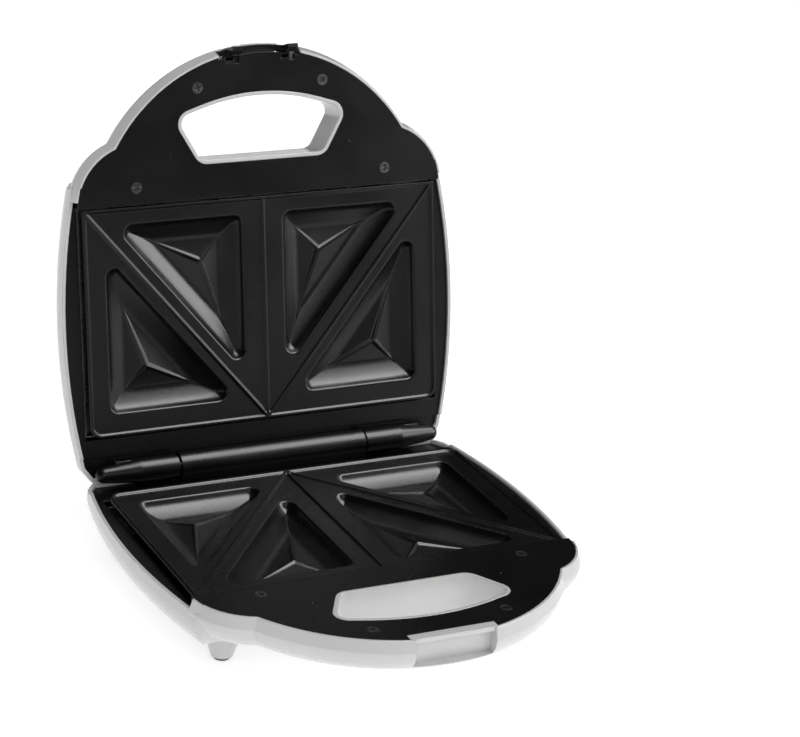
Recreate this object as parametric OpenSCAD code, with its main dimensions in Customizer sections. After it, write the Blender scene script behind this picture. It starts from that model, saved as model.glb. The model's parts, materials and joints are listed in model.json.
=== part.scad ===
// Sandwich toaster for two sandwiches: two mirrored halves on a rear hinge, each with a shell, a frame,
// a cast plate, a heating tube and a reflector. A latch on the lid hooks under a catch on the base.
// Each half is drawn in its own measures: x to the right, y to the rear from the plate's front edge,
// and z upward from the face of the handle. The lid is the same half mirrored and swung open.

/* [Overall] */
// height of the base's handle face above the table
face_height = 45; // [43:0.5:60]
// angle between the two halves when the lid rests open
open_angle = 101.6; // [90:0.1:110]
// gap between the two handle faces when the lid is closed
closed_gap = 0.3; // [0.2:0.1:1]
// hair that the two rear edges keep when the lid rests open
stop_gap = 0.1; // [0.04:0.02:0.4]

/* [Plates] */
// width of each cast plate
plate_width = 218; // [210:1:220]
// depth of each cast plate from front to rear
plate_depth = 129.5; // [125:0.5:131]
// drop from the handle face to the plate's raised rim
rim_drop = 1.4; // [0.8:0.1:3]
// height of the raised rim and ribs above the flat land
rim_rise = 1.2; // [0.6:0.1:2]
// wall thickness of the cast plate
plate_wall = 2.2; // [1.6:0.1:2.6]
// depth of each sandwich pocket below the land
pocket_depth = 11.5; // [10:0.1:12]
// radius of the pocket corners at the top
pocket_corner = 5; // [3:0.5:7]
// width of the sweep from a pocket's edge to the foot of its floor
pocket_reach = 11; // [9:0.5:14]
// distance from the middle of the plate to the inner pockets
pocket_middle = 12.8; // [11:0.2:16]
// distance from the plate's front edge to the inner pockets
pocket_front = 10.2; // [9.6:0.2:13]
// distance from the plate's side edge to the outer pockets
pocket_side = 13; // [12.4:0.2:16]
// distance from the plate's rear edge to the outer pockets
pocket_rear = 13; // [9:0.2:16]
// distance from the slanting rib to the inner pocket
inner_land = 8; // [4:0.5:12]
// distance from the slanting rib to the outer pocket
outer_land = 6.5; // [4:0.5:12]
// height that each pocket's three-sided floor rises to its middle
floor_rise = 5; // [2:0.25:6]
// width of the plate's ribs and of its raised rim
rib_width = 2; // [1.6:0.1:3]
// radius of the plate's two rear corners
plate_corner = 7; // [4:0.5:9]

/* [Shell] */
// how far the bowed sides stand beyond the plate at their widest
side_margin = 13.5; // [12.8:0.1:16]
// radius of the bowed sides seen from above
side_bow = 372.4; // [350:0.1:400]
// distance from the plate's front edge to the widest point
side_middle = 68; // [60:1:76]
// depth of the body below the handle face
body_depth = 30; // [29.5:0.5:34]
// radius of the body's rounded lower edge
body_round = 19.5; // [16:0.5:19.5]
// thickness of the shell
shell_wall = 2.2; // [1.8:0.1:2.4]
// how far the body's front wall stands before the plate
body_front = 15; // [12:0.5:18]
// how far the body reaches behind the hinge axis
rear_overhang = 5.7; // [5.6:0.1:6.2]
// how far the trimmed corners of the body stand beyond the plate's opening
corner_margin = 11.4; // [10.6:0.2:14]
// drop from the handle face to the edge of the shell's sides
side_rim_drop = 5.3; // [5:0.1:6.4]

/* [Handle] */
// radius of the handle's front edge seen from above
handle_radius = 106.8; // [105:0.1:108]
// distance from the plate's front edge back to the handle arc's centre
handle_centre = 20.3; // [19:0.1:22]
// depth of the handle from face to underside
handle_depth = 20.5; // [18:0.5:22]
// radius of the handle's rounded lower edge
handle_round = 14; // [10:0.5:15]
// radius of the two shoulders beside the handle
shoulder_radius = 39; // [37:0.5:39.5]
// distance of the shoulder centres from the middle
shoulder_side = 76.5; // [75:0.5:77]
// narrowing of the body from its widest line to its lip
lip_lean = 1.1; // [0.8:0.1:1.2]
// narrowing of the handle from its widest line to its lip
handle_lean = 2.1; // [1.8:0.1:2.4]
// thickness of the lip that shows around the frame
lip_width = 1.3; // [1:0.1:1.4]
// radius of the finger opening's front arc
opening_arc = 124.9; // [115:0.1:140]
// distance from the plate's front edge to the opening's front
opening_front = 59.8; // [57:0.2:61]
// distance from the plate's front edge to the opening's rear edge
opening_rear = 21; // [20:0.5:24]
// thickness of the wall that lines the opening
lining_wall = 2; // [1.6:0.1:2.4]

/* [Frame] */
// thickness of the frame
frame_wall = 2; // [1.8:0.1:2.4]
// drop from the handle face to the frame beside the plate
strip_drop = 6.75; // [6.5:0.05:7.2]
// drop from the handle face to the frame under the hinge
rear_strip_drop = 8.75; // [8.6:0.05:9.5]
// gap around the plate inside the frame
plate_gap = 1.8; // [1:0.1:2]
// thickness of the skirt around the plate
skirt_wall = 1.4; // [1.2:0.1:1.6]
// width of the ledge that carries the reflector
ledge_width = 6; // [4:0.5:7]

/* [Hinge] */
// distance from the plate's rear edge back to the hinge axis
hinge_setback = 20.8; // [20.4:0.1:23]
// radius of the barrel on the base
barrel_radius = 7.5; // [7:0.1:7.5]
// half length of the barrel on the base
barrel_half = 58; // [50:1:60]
// radius of the two tapered knuckles on the lid
knuckle_radius = 7; // [6.5:0.1:7.2]
// distance from the middle to the tip of each knuckle
knuckle_tip = 108; // [100:1:108]
// radius of the hinge pins
pin_radius = 2; // [1.5:0.1:2.5]
// free space at each end of the barrel
hinge_side_gap = 1.3; // [0.5:0.1:2]

/* [Latch] */
// angle that the latch swings from released to hooked
latch_swing = 10; // [9.5:0.5:14]
// distance from the handle's front in to the latch pivot
latch_pivot_inset = 6.5; // [6:0.1:7]
// distance from the handle face in to the latch pivot
latch_pivot_depth = 8; // [7.5:0.1:8.5]
// radius of the latch pin
latch_pin_radius = 1.25; // [1:0.05:1.5]
// how far each hook reaches under the catch
hook_catch = 1.5; // [0.8:0.1:1.6]
// half width of the catch recess in the base
catch_half = 23; // [22.5:0.5:24]
// distance from the handle's front in to the catch's front face
catch_inset = 5.5; // [5.3:0.1:5.9]
// thickness of the catch
catch_wall = 2.6; // [2:0.1:2.8]

/* [Screws and feet] */
// radius of the screw heads
head_radius = 3.15; // [2.8:0.05:3.4]
// radius of the screw shanks
shank_radius = 1.5; // [1.25:0.05:1.7]
// radius of each foot where it meets the body
foot_top_radius = 11; // [8:0.5:11]
// radius of each foot at its lower end
foot_radius = 6; // [5.5:0.5:7]
// radius of the rubber pads
pad_radius = 4.3; // [3.5:0.1:4.6]
// radius of the cord hole through the bush
cord_radius = 3.4; // [2.5:0.1:3.8]

/* [Hidden] */
$fa = 4;
$fs = 0.6;
big_fn = 240;
e = 0.02;

// hinge and stop
axis_z = closed_gap / 2;
hinge_y = plate_depth + hinge_setback;
rear_y = hinge_y + rear_overhang;
rear_rim_drop = rear_overhang * tan(open_angle / 2) - axis_z + stop_gap / 2;
// how far back a rounded edge of the open lid reaches
function reach_back(y, depth, round_r) = hinge_y + (y + round_r - hinge_y) * cos(open_angle)
    + (depth - round_r + axis_z) * sin(open_angle) + round_r;
back_y = max(reach_back(-body_front, body_depth, body_round),
    reach_back(handle_centre - handle_radius, handle_depth, handle_round));
handle_reach = handle_radius - handle_centre;
latch_pivot_y = handle_reach - latch_pivot_inset;
catch_front = handle_reach - catch_inset;
front_y = handle_centre - sqrt(pow(handle_radius, 2) - pow(catch_half, 2));
origin_y = (front_y + back_y) / 2;

// frame edge inside the lip
fit = 0.1;
lip_line = lip_lean + lip_width;
handle_line = handle_lean + lip_width;
lower_y = hinge_y - barrel_radius - 1.3;
lower_wall = 1.5;
inner_rear = rear_y - shell_wall;
split_y = -1.5;
rim_step_y = -5;
open_x = plate_width / 2 + plate_gap;
open_rear = plate_depth + plate_gap;
shell_half_width = plate_width / 2 + side_margin;
corner_reach = norm([open_x, open_rear - side_middle]) + corner_margin;

// plate levels
land_z = -rim_drop - rim_rise;
under_z = land_z - plate_wall;
floor_z = land_z - pocket_depth;
sheet = 0.8;
reflector_z = floor_z - plate_wall - 1;
ledge_top = reflector_z - sheet;
ledge_bottom = ledge_top - frame_wall;
bar_half = 9;
plate_screw_y = [22, plate_depth - 21.5];
tube_radius = 3.25;
tube_x = plate_width / 2 - 6;
tube_front = 4.8;
tube_bend = 12;
tube_end = plate_depth - 13.5;
tube_z = under_z - tube_radius - e;
terminal_radius = 1.2;
terminal_length = 6;
post_inset = 4.5;
post_radius = 2.5;
boss_drop = under_z - reflector_z;

// fixings
handle_screws = [[-77, -10.8], [77, -10.8], [-38.5, -64.2], [38.5, -64.2]];
head_height = 1.2;
boss_radius = 3.6;
dimples = [[-55.3, -28.5], [55.3, -28.5]];
dimple_radius = 0.9;
dimple_depth = 0.3;
rear_foot_y = hinge_y - 18.3;
front_foot_y = 9;
front_foot_x = shell_half_width - 34;
rear_foot_x = shell_half_width - 34.5;
feet = [[-front_foot_x, front_foot_y], [front_foot_x, front_foot_y],
    [-rear_foot_x, rear_foot_y], [rear_foot_x, rear_foot_y]];
foot_z = -face_height + 1.8;
socket_z = foot_z + 3;
inner_floor = shell_wall - body_depth;
cord_x = -70;
cord_z = -19.4;
bush_radius = cord_radius + 1.6;
bush_flange = bush_radius + 1.5;
collar_radius = bush_radius + 2.4;
collar_front = rear_y - 12;
collar_rear = rear_y + 1.5;

// latch measures, hooked, in the lid's own half
stem_middle = 17;
stem_width = 6;
stem_slot = 8.2;
catch_rear = catch_front - 4;
notch_rear = catch_rear - 1.8;
pocket_drop = 15.5;
hook_z = closed_gap + catch_wall + 0.2;
hook_end = hook_z + 5.4;
hook_tip = catch_front - hook_catch;
stem_back = catch_front + 0.3;
stem_front = stem_back + 2.3;
latch_gap = 0.05;
knuckle_gap = 0.05;
knuckle_start = barrel_half + hinge_side_gap;
knuckle_straight = 23;
tip_radius = 4.6;
knuckle_taper = knuckle_tip - knuckle_start - knuckle_straight - tip_radius;
knuckle_foot = knuckle_tip - 12 - knuckle_start;
hub_radius = 2.6;
bar_half_width = 24.8;
bar_top = 1.8;
bar_bottom = 5.5;
bar_outer = handle_radius - 0.6;
bar_inner = handle_radius - 3.2;
frame_front = bar_inner - 1.4;
lug_middle = 22.4;
lug_width = 2.4;

// one half's profile: straight top, a slight lean up to the lip and a rounded lower edge
module side_profile(reach, depth, round_r, lean) {
    polygon([[0, 2], [reach - lean, 2], [reach - lean, 0], [reach, round_r - depth],
        [reach - round_r, -depth], [0, -depth]]);
    intersection() {
        translate([reach - round_r, round_r - depth]) circle(r = round_r);
        translate([reach - round_r, -depth]) square(round_r);
    }
}

module turned(reach, depth, round_r, lean) {
    rotate_extrude($fn = big_fn) side_profile(reach, depth, round_r, lean);
}

// the deep body, drawn in by an inset for the inside of the shell
module body_form(inset) {
    depth = body_depth - inset;
    round_r = body_round - inset;
    intersection() {
        translate([shell_half_width - side_bow, side_middle, 0])
            turned(side_bow - inset, depth, round_r, lip_lean);
        translate([side_bow - shell_half_width, side_middle, 0])
            turned(side_bow - inset, depth, round_r, lip_lean);
        translate([0, side_middle, 0]) turned(corner_reach - inset, depth, round_r, 0);
        translate([-shell_half_width, 0, 0]) rotate([90, 0, 90]) linear_extrude(2 * shell_half_width)
            end_profile(inset, depth, round_r);
    }
}

// side view of the body: upright front and rear walls with rounded lower edges
module end_profile(inset, depth, round_r) {
    front = inset - body_front;
    rear = rear_y - inset;
    translate([front, round_r - depth]) square([rear - front, depth - round_r + 2]);
    translate([front + round_r, -depth]) square([rear - front - 2 * round_r, depth]);
    translate([front + round_r, round_r - depth]) circle(r = round_r);
    translate([rear - round_r, round_r - depth]) circle(r = round_r);
}

// the shallow handle with its two shoulders
module handle_form(inset) {
    depth = handle_depth - inset;
    round_r = handle_round - inset;
    intersection() {
        union() {
            translate([0, handle_centre, 0]) turned(handle_radius - inset, depth, round_r, handle_lean);
            for (s = [-1, 1]) translate([s * shoulder_side, 0.5, 0])
                turned(shoulder_radius - inset, depth, round_r, handle_lean);
        }
        translate([-150, -150, -depth - 1]) cube([300, 150 + rim_step_y + inset, depth + 2]);
    }
}

// everything a shell may fill, up to its stepped edge
module outer_form() {
    difference() {
        union() {
            handle_form(0);
            difference() {
                body_form(0);
                translate([-150, -150, -side_rim_drop]) cube([300, 400, 20]);
            }
        }
        translate([-150, -150, 0]) cube([300, 400, 10]);
        translate([-150, lower_y, -rear_rim_drop]) cube([300, 100, 20]);
    }
}

module opening_outline(grow) {
    hull() {
        for (s = [-1, 1]) {
            translate([s * 34, -opening_rear - 8.5]) circle(r = 8.5 + grow, $fn = 32);
            translate([s * 43, -44]) circle(r = 8 + grow, $fn = 32);
        }
        intersection() {
            translate([0, opening_arc - opening_front]) circle(r = opening_arc + grow, $fn = 240);
            translate([-44, -opening_front - 4]) square([88, 20]);
        }
    }
}

// the frame's front panel and its lower strip, seen from above
module panel_outline(grow) {
    intersection() {
        union() {
            translate([0, handle_centre]) circle(r = handle_radius - handle_line + grow, $fn = big_fn);
            for (s = [-1, 1]) translate([s * shoulder_side, 0.5])
                circle(r = shoulder_radius - handle_line + grow, $fn = 120);
        }
        translate([-150, -150]) square([300, 150 + split_y]);
    }
}

module strip_outline(grow) {
    reach = side_bow - lip_line + grow;
    intersection() {
        translate([shell_half_width - side_bow, side_middle]) circle(r = reach, $fn = big_fn);
        translate([side_bow - shell_half_width, side_middle]) circle(r = reach, $fn = big_fn);
        translate([0, side_middle]) circle(r = corner_reach - lip_line + grow, $fn = big_fn);
        translate([-150, rim_step_y + 0.1 - grow])
            square([300, inner_rear - 0.2 - rim_step_y - 0.1 + grow]);
    }
}

// bored posts under the handle screws
module screw_bosses() {
    for (p = handle_screws) translate([p[0], p[1], -body_depth])
        cylinder(r = boss_radius, h = body_depth - frame_wall);
}

module screw_pilots() {
    for (p = handle_screws) translate([p[0], p[1], -handle_depth + shell_wall])
        cylinder(r = shank_radius + e, h = handle_depth);
}

module shell_half() {
    difference() {
        union() {
            difference() {
                outer_form();
                handle_form(shell_wall);
                body_form(shell_wall);
                translate([0, 0, -frame_wall]) linear_extrude(frame_wall + 3) panel_outline(fit);
                translate([0, 0, -strip_drop - frame_wall]) linear_extrude(strip_drop + frame_wall + 3)
                    strip_outline(fit);
                translate([0, 0, -rear_strip_drop - frame_wall]) linear_extrude(frame_wall + 3)
                    intersection() {
                        strip_outline(fit);
                        translate([-150, lower_y - lower_wall - fit]) square([300, 50]);
                    }
            }
            intersection() {
                outer_form();
                union() {
                    translate([0, 0, -handle_depth]) linear_extrude(handle_depth) opening_outline(0);
                    screw_bosses();
                }
            }
        }
        translate([0, 0, -handle_depth - 1]) linear_extrude(handle_depth + 3) opening_outline(-lining_wall);
        screw_pilots();
    }
}

module frame_half() {
    difference() {
        union() {
            translate([0, 0, -frame_wall]) linear_extrude(frame_wall) panel_outline(0);
            // wall that steps down from the front panel to the lower strip
            translate([0, 0, -strip_drop - frame_wall]) linear_extrude(strip_drop + frame_wall)
                intersection() {
                    panel_outline(0);
                    translate([-open_x - skirt_wall, split_y - skirt_wall])
                        square([2 * (open_x + skirt_wall), skirt_wall]);
                }
            translate([0, 0, -strip_drop - frame_wall]) linear_extrude(frame_wall)
                intersection() {
                    strip_outline(0);
                    translate([-150, -50]) square([300, 50 + lower_y]);
                }
            translate([0, 0, -rear_strip_drop - frame_wall]) linear_extrude(frame_wall)
                intersection() {
                    strip_outline(0);
                    translate([-150, lower_y - lower_wall]) square([300, 50]);
                }
            translate([0, 0, -rear_strip_drop - frame_wall])
                linear_extrude(rear_strip_drop - strip_drop + frame_wall) intersection() {
                    strip_outline(0);
                    translate([-150, lower_y - lower_wall]) square([300, lower_wall]);
                }
            // skirt around the plate with its ledge and middle bar, clear of the shell's rounded sides
            intersection() {
                body_form(shell_wall + fit);
                translate([-open_x - skirt_wall, split_y - skirt_wall, ledge_bottom])
                    cube([2 * (open_x + skirt_wall), open_rear - split_y + 2 * skirt_wall,
                        -strip_drop - ledge_bottom]);
            }
        }
        translate([0, 0, -frame_wall - 1]) linear_extrude(frame_wall + 2) opening_outline(fit);
        difference() {
            translate([-open_x, split_y, ledge_bottom - 1]) cube([2 * open_x, open_rear - split_y, 40]);
            difference() {
                translate([-open_x - 1, split_y - 1, ledge_bottom])
                    cube([2 * open_x + 2, open_rear - split_y + 2, frame_wall]);
                translate([bar_half, split_y + ledge_width, ledge_bottom - 1])
                    cube([open_x - ledge_width - bar_half, open_rear - split_y - 2 * ledge_width, 10]);
                translate([-open_x + ledge_width, split_y + ledge_width, ledge_bottom - 1])
                    cube([open_x - ledge_width - bar_half, open_rear - split_y - 2 * ledge_width, 10]);
            }
        }
        for (p = handle_screws) translate([p[0], p[1], -head_height]) {
            cylinder(r = head_radius + fit, h = 3);
            translate([0, 0, -3]) cylinder(r = shank_radius + fit, h = 4);
        }
        for (p = dimples) translate([p[0], p[1], -dimple_depth]) cylinder(r = dimple_radius, h = 2);
        for (y = plate_screw_y) translate([0, y, ledge_bottom - 1])
            cylinder(r = shank_radius + fit, h = frame_wall + 2);
    }
}

// the slanting rib runs from the plate's rear middle to its front corner; these give the points of a line
// that runs beside it at a distance, positive toward the corner of the plate
rib_length = norm([plate_width / 2, plate_depth]);
function beside_at_x(x, away) = plate_depth + (away * rib_length - plate_depth * x) * 2 / plate_width;
function beside_at_y(y, away) =
    (plate_depth - y) * plate_width / 2 / plate_depth + away * rib_length / plate_depth;

// pocket corners on the right side, as the corners of their outlines at the land
outer_x = plate_width / 2 - pocket_side;
outer_y = plate_depth - pocket_rear;
outer_pocket = [[outer_x, beside_at_x(outer_x, outer_land)], [outer_x, outer_y],
    [beside_at_y(outer_y, outer_land), outer_y]];
inner_pocket = [[beside_at_y(pocket_front, -inner_land), pocket_front],
    [pocket_middle, beside_at_x(pocket_middle, -inner_land)], [pocket_middle, pocket_front]];

function unit(v) = v / norm(v);
// corner i of triangle t moved in so that a circle of radius r there touches both edges
function inset_corner(t, i, r) =
    let (a = unit(t[(i + 1) % 3] - t[i]), b = unit(t[(i + 2) % 3] - t[i]), m = unit(a + b))
    t[i] + m * r / sqrt(1 - pow(a * m, 2));

// depth of a pocket's sweep at a distance inside its outline
function sweep_depth(d) = pocket_depth * (1 - pow(1 - d / pocket_reach, 2.4));

// a pocket's hollow, or with a wall around it the casting that holds it
module pocket(t, wall, top) {
    hull() for (d = [0, 2, 4, 7, pocket_reach - 1]) for (i = [0:2]) {
        c = inset_corner(t, i, d + pocket_corner);
        z = d == 0 ? top : land_z - sweep_depth(d) - wall;
        translate([c[0], c[1], z]) cylinder(r = pocket_corner + wall, h = 0.3, $fn = 24);
    }
}

// centre of the circle that touches all three sides of a triangle
function incentre(t) =
    let (a = norm(t[1] - t[2]), b = norm(t[2] - t[0]), c = norm(t[0] - t[1]))
    (a * t[0] + b * t[1] + c * t[2]) / (a + b + c);

// low three-sided pyramid that a pocket's floor rises into
module raised_floor(t) {
    c = incentre(t);
    hull() {
        for (i = [0:2]) {
            k = inset_corner(t, i, pocket_reach - 1);
            translate([k[0], k[1], floor_z - 0.8]) cylinder(r = 0.5, h = 0.9, $fn = 12);
        }
        translate([c[0], c[1], floor_z - 0.8]) cylinder(r = 0.5, h = floor_rise + 0.8, $fn = 12);
    }
}

module rib(a, b) {
    d = b - a;
    translate([a[0], a[1], land_z]) rotate(atan2(d[1], d[0])) translate([0, -rib_width / 2, -0.5])
        cube([norm(d), rib_width, rim_rise + 0.5]);
}

module plate_outline(inset) {
    half = plate_width / 2 - inset;
    corner = plate_corner - inset;
    rear = plate_depth - inset;
    translate([-half, inset]) square([2 * half, rear - corner - inset]);
    translate([corner - half, inset]) square([2 * (half - corner), rear - inset]);
    for (s = [-1, 1]) translate([s * (half - corner), rear - corner]) circle(r = corner, $fn = 32);
}

module plate_half() {
    half = plate_width / 2;
    difference() {
        union() {
            translate([0, 0, under_z]) linear_extrude(plate_wall) plate_outline(0);
            translate([0, 0, land_z - 0.5]) linear_extrude(rim_rise + 0.5) difference() {
                plate_outline(0);
                plate_outline(rib_width);
            }
            rib([0, 1], [0, plate_depth - 1]);
            intersection() {
                for (s = [-1, 1]) rib([s * half, 0], [0, plate_depth - 1]);
                translate([-half, 0, under_z]) cube([plate_width, plate_depth, 10]);
            }
            for (s = [0, 1]) mirror([s, 0, 0]) {
                pocket(outer_pocket, plate_wall, land_z - 0.4);
                pocket(inner_pocket, plate_wall, land_z - 0.4);
            }
            for (y = plate_screw_y) translate([0, y, reflector_z]) cylinder(r = 4, h = boss_drop + 0.5);
            for (x = [post_inset - half, half - post_inset], y = [post_inset, plate_depth - post_inset])
                translate([x, y, reflector_z]) cylinder(r = post_radius, h = boss_drop + 0.5);
        }
        for (s = [0, 1]) mirror([s, 0, 0]) {
            pocket(outer_pocket, 0, land_z + e);
            pocket(inner_pocket, 0, land_z + e);
        }
        for (y = plate_screw_y) translate([0, y, reflector_z - 1])
            cylinder(r = shank_radius + 0.15, h = boss_drop);
    }
    for (s = [0, 1]) mirror([s, 0, 0]) {
        raised_floor(outer_pocket);
        raised_floor(inner_pocket);
    }
}

// heating tube along the plate's edge, open at the rear, with a thin terminal at each end
module heater_half() {
    for (s = [-1, 1]) {
        translate([s * tube_x, tube_front + tube_bend, tube_z]) rotate([-90, 0, 0])
            cylinder(r = tube_radius, h = tube_end - tube_front - tube_bend);
        translate([s * tube_x, tube_end - 1, tube_z]) rotate([-90, 0, 0])
            cylinder(r = terminal_radius, h = terminal_length + 1);
        translate([s * (tube_x - tube_bend), tube_front + tube_bend, tube_z])
            mirror([s < 0 ? 1 : 0, 0, 0]) rotate(-90) rotate_extrude(angle = 90)
                translate([tube_bend, 0]) circle(r = tube_radius);
    }
    translate([tube_bend - tube_x, tube_front, tube_z]) rotate([0, 90, 0])
        cylinder(r = tube_radius, h = 2 * (tube_x - tube_bend));
}

module reflector_half() {
    x = plate_width / 2 + 0.6;
    difference() {
        translate([-x, -0.6, ledge_top]) cube([2 * x, plate_depth + 1.2, 8]);
        translate([sheet - x, sheet - 0.6, reflector_z])
            cube([2 * (x - sheet), plate_depth + 1.2 - 2 * sheet, 9]);
        for (y = plate_screw_y) translate([0, y, ledge_top - 1]) cylinder(r = shank_radius + fit, h = 3);
    }
}

module cross_cut(size, depth) {
    translate([-size, -0.4, -depth]) cube([2 * size, 0.8, depth + 1]);
    translate([-0.4, -size, -depth]) cube([0.8, 2 * size, depth + 1]);
}

module handle_screws_half() {
    for (p = handle_screws) translate([p[0], p[1], 0]) difference() {
        union() {
            translate([0, 0, -head_height]) cylinder(r = head_radius, h = head_height);
            translate([0, 0, -12]) cylinder(r = shank_radius, h = 12 - head_height + 0.5);
        }
        rotate(p[0] + 20) cross_cut(1.9, 0.8);
    }
}

module plate_screws_half() {
    for (y = plate_screw_y) translate([0, y, ledge_bottom]) difference() {
        union() {
            translate([0, 0, -2]) cylinder(r = head_radius, h = 2);
            translate([0, 0, -1]) cylinder(r = shank_radius, h = 12);
        }
        mirror([0, 0, 1]) translate([0, 0, 2]) cross_cut(1.9, 0.9);
    }
}

// eight-sided wire through a list of points, lapped at its bends
module wire(points, r = 1, lap = 0.4) {
    last = len(points) - 2;
    for (i = [0:last]) {
        d = points[i + 1] - points[i];
        before = i > 0 ? lap : 0;
        after = i < last ? lap : 0;
        translate(points[i]) rotate([0, acos(d[2] / norm(d)), atan2(d[1], d[0])])
            translate([0, 0, -before]) cylinder(r = r, h = norm(d) + before + after, $fn = 8);
    }
}

module in_base() translate([0, -origin_y, face_height]) children();

module in_lid() translate([0, hinge_y - origin_y, face_height + axis_z]) rotate([-open_angle, 0, 0])
    translate([0, -hinge_y, axis_z]) mirror([0, 0, 1]) children();

module along_hinge() translate([0, hinge_y, axis_z]) rotate([0, 90, 0]) children();

module base_shell() color("#f4f4f1") in_base() difference() {
    union() {
        difference() {
            shell_half();
            translate([-catch_half, -100, -pocket_drop]) cube([2 * catch_half, 100 - catch_rear, 20]);
        }
        // recess walls and the catch that the latch hooks under
        intersection() {
            outer_form();
            difference() {
                translate([-catch_half - 2, -100, -handle_depth])
                    cube([2 * catch_half + 4, 100 - notch_rear - fit, handle_depth]);
                translate([-catch_half, -101, -pocket_drop]) cube([2 * catch_half, 101 - catch_rear, 20]);
            }
        }
        translate([-catch_half - 1, -catch_front, -catch_wall])
            cube([2 * catch_half + 2, catch_front - catch_rear + 1, catch_wall]);
        for (p = feet) translate([p[0], p[1], foot_z])
            cylinder(r1 = foot_radius, r2 = foot_top_radius, h = inner_floor - foot_z);
        translate([cord_x, collar_front, cord_z]) rotate([-90, 0, 0])
            cylinder(r = collar_radius, h = collar_rear - collar_front);
    }
    for (p = feet) translate([p[0], p[1], foot_z - 1])
        cylinder(r = pad_radius + e, h = socket_z - foot_z + 1);
    translate([cord_x, rear_y - 20, cord_z]) rotate([-90, 0, 0]) cylinder(r = bush_radius + e, h = 30);
}

module base_frame() color("#24262b") in_base() difference() {
    union() {
        difference() {
            frame_half();
            translate([-catch_half - 2 - fit, -100, -10])
                cube([2 * (catch_half + 2 + fit), 100 - notch_rear, 20]);
        }
        along_hinge() translate([0, 0, -barrel_half]) cylinder(r = barrel_radius, h = 2 * barrel_half);
        translate([-barrel_half, hinge_y - 6.8, -rear_strip_drop - 1])
            cube([2 * barrel_half, 9.5, rear_strip_drop - 1]);
    }
    along_hinge() translate([0, 0, -barrel_half - 1]) cylinder(r = pin_radius + e, h = 2 * barrel_half + 2);
}

module base_plate() color("#3a3b3e") in_base() plate_half();

module base_heater() color("#8d8b86") in_base() heater_half();

module base_reflector() color("#c9cacc") in_base() reflector_half();

module base_handle_screws() color("#b9babd") in_base() handle_screws_half();

module base_plate_screws() color("#b9babd") in_base() plate_screws_half();

module foot_pads() color("#2b2b2b") in_base() for (p = feet)
    translate([p[0], p[1], -face_height]) cylinder(r = pad_radius, h = socket_z + face_height);

module cord_bush() color("#202124") in_base()
    translate([cord_x, 0, cord_z]) rotate([-90, 0, 0]) difference() {
        union() {
            translate([0, 0, rear_y - 8]) cylinder(r = bush_radius, h = collar_rear - rear_y + 9);
            translate([0, 0, collar_rear]) cylinder(r = bush_flange, h = 2);
        }
        translate([0, 0, rear_y - 10]) cylinder(r = cord_radius, h = 20);
    }

module terminal_block() color("#e8e4d8") in_base() difference() {
    translate([-66, 100, inner_floor]) cube([34, 14, 6]);
    for (x = [-60, -49, -38]) translate([x, 107, inner_floor + 3]) cylinder(r = 2, h = 5);
}

module thermostat() color("#b8a888") in_base() {
    translate([46, 50, ledge_top - 4]) cylinder(r = 8, h = 4);
    translate([46, 50, ledge_top - 6]) cylinder(r = 5, h = 3);
    for (s = [-1, 1]) translate([46 + 6 * s - 0.4, 47, ledge_top - 7]) cube([0.8, 6, 4]);
}

module thermal_fuse() color("#d8d4cc") in_base() {
    translate([-46, 42, ledge_top - 2.2]) rotate([-90, 0, 0]) cylinder(r = 2, h = 16);
    translate([-46, 38, ledge_top - 2.2]) rotate([-90, 0, 0]) cylinder(r = 0.5, h = 24);
    translate([-48.5, 49, ledge_top - 4.4]) cube([5, 3, 4.4]);
}

wire_z = inner_floor + 1.2;

module base_wires() color("#a03028") in_base() {
    wire([[-60, 99.9, wire_z + 2], [-60, 98, wire_z + 2], [-60, 90, wire_z], [-46, 63.1, wire_z],
        [-46, 63.1, ledge_top - 2.2]]);
    wire([[-46, 36.9, ledge_top - 2.2], [-46, 34, wire_z], [46, 34, wire_z], [52, 40, wire_z],
        [52, 45.9, ledge_top - 5.5]]);
    wire([[-38, 99.9, wire_z + 2], [-38, 98, wire_z + 2], [-30, 92, wire_z], [40, 92, wire_z],
        [40, 60, wire_z], [40, 54.1, ledge_top - 5.5]]);
}

module hinge_pin(s) in_base() along_hinge() translate([0, 0, s > 0 ? barrel_half - 14 : -barrel_half - 18])
    cylinder(r = pin_radius, h = 32);

module hinge_pin_left() color("#c4c6c8") hinge_pin(-1);

module hinge_pin_right() color("#c4c6c8") hinge_pin(1);

lamps = [-9, 9];
lamp_y = 12;
lamp_radius = 4;

module lid_shell() color("#f4f4f1") in_lid() difference() {
    union() {
        difference() {
            shell_half();
            // gap in the rim for the latch's bar, and a slot for each stem
            translate([0, 0, -bar_bottom - 0.4]) linear_extrude(20)
                bar_outline(bar_inner - 1.4, handle_radius + 5, bar_half_width + 0.4);
            for (s = [-1, 1])
                translate([s * stem_middle - stem_slot / 2, -100, -latch_pivot_depth - hub_radius - 0.4])
                    cube([stem_slot, 100 - latch_pivot_y + hub_radius + 0.6, 20]);
        }
        // lugs that carry the latch pin
        intersection() {
            handle_form(0);
            for (s = [-1, 1]) translate([s * lug_middle - lug_width / 2, -latch_pivot_y - 2.4, -handle_depth])
                cube([lug_width, 6.4, handle_depth - bar_bottom - 0.4]);
        }
    }
    translate([-26, -latch_pivot_y, -latch_pivot_depth]) rotate([0, 90, 0])
        cylinder(r = latch_pin_radius + e, h = 52);
    for (x = lamps) translate([x, lamp_y, -body_depth - 1])
        cylinder(r = lamp_radius + e, h = shell_wall + 2);
}

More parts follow.
